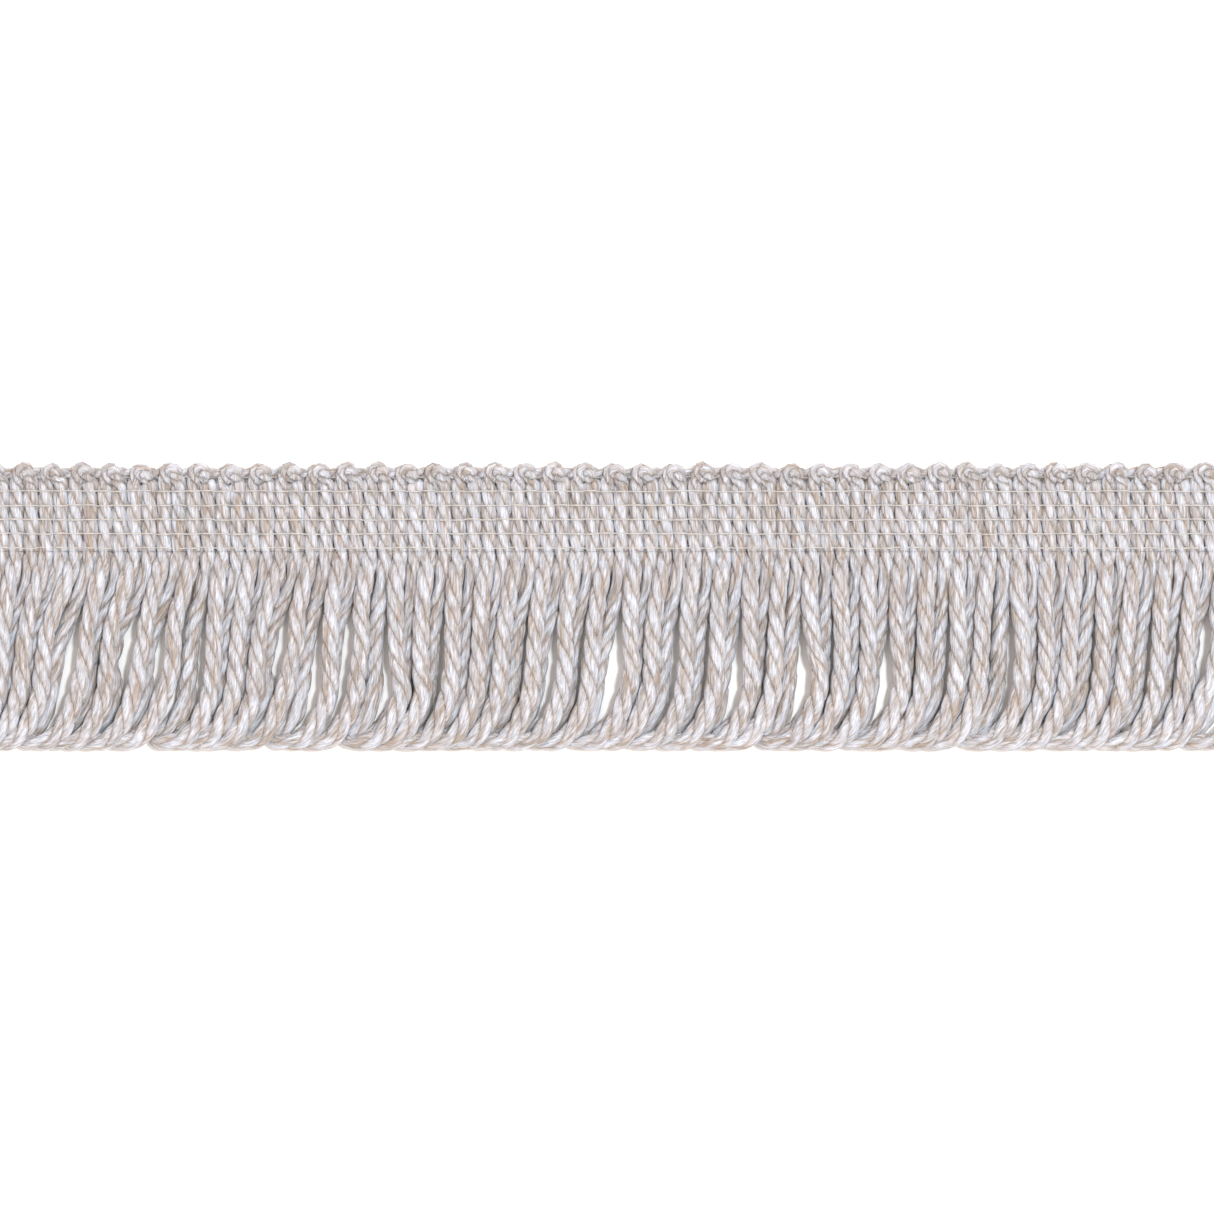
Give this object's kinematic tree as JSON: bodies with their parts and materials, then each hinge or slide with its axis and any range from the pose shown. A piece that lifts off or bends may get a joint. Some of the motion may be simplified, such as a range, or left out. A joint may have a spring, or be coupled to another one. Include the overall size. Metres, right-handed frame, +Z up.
{
  "type": "fringe trim",
  "caption": "Cut length of loop fringe trim: a narrow woven heading with a picot edge, and plied yarn loops hanging from it.",
  "frame": {"origin": "under the middle of the trim, on the surface that it lies on", "axes": "+X along the trim, +Y across it from the loops to the picot edge, +Z up out of its face"},
  "size_m": [0.1836, 0.04, 0.0047],
  "materials": {
    "heading_yarn": "matt plied yarn, mottled pale grey and beige, with thin cream threads across it",
    "fringe_yarn": "soft plied yarn with a slight sheen, mottled pale grey and beige"
  },
  "bodies": {
    "root": {"heading": "heading_yarn", "fringe": "fringe_yarn"}
  },
  "joints": []
}
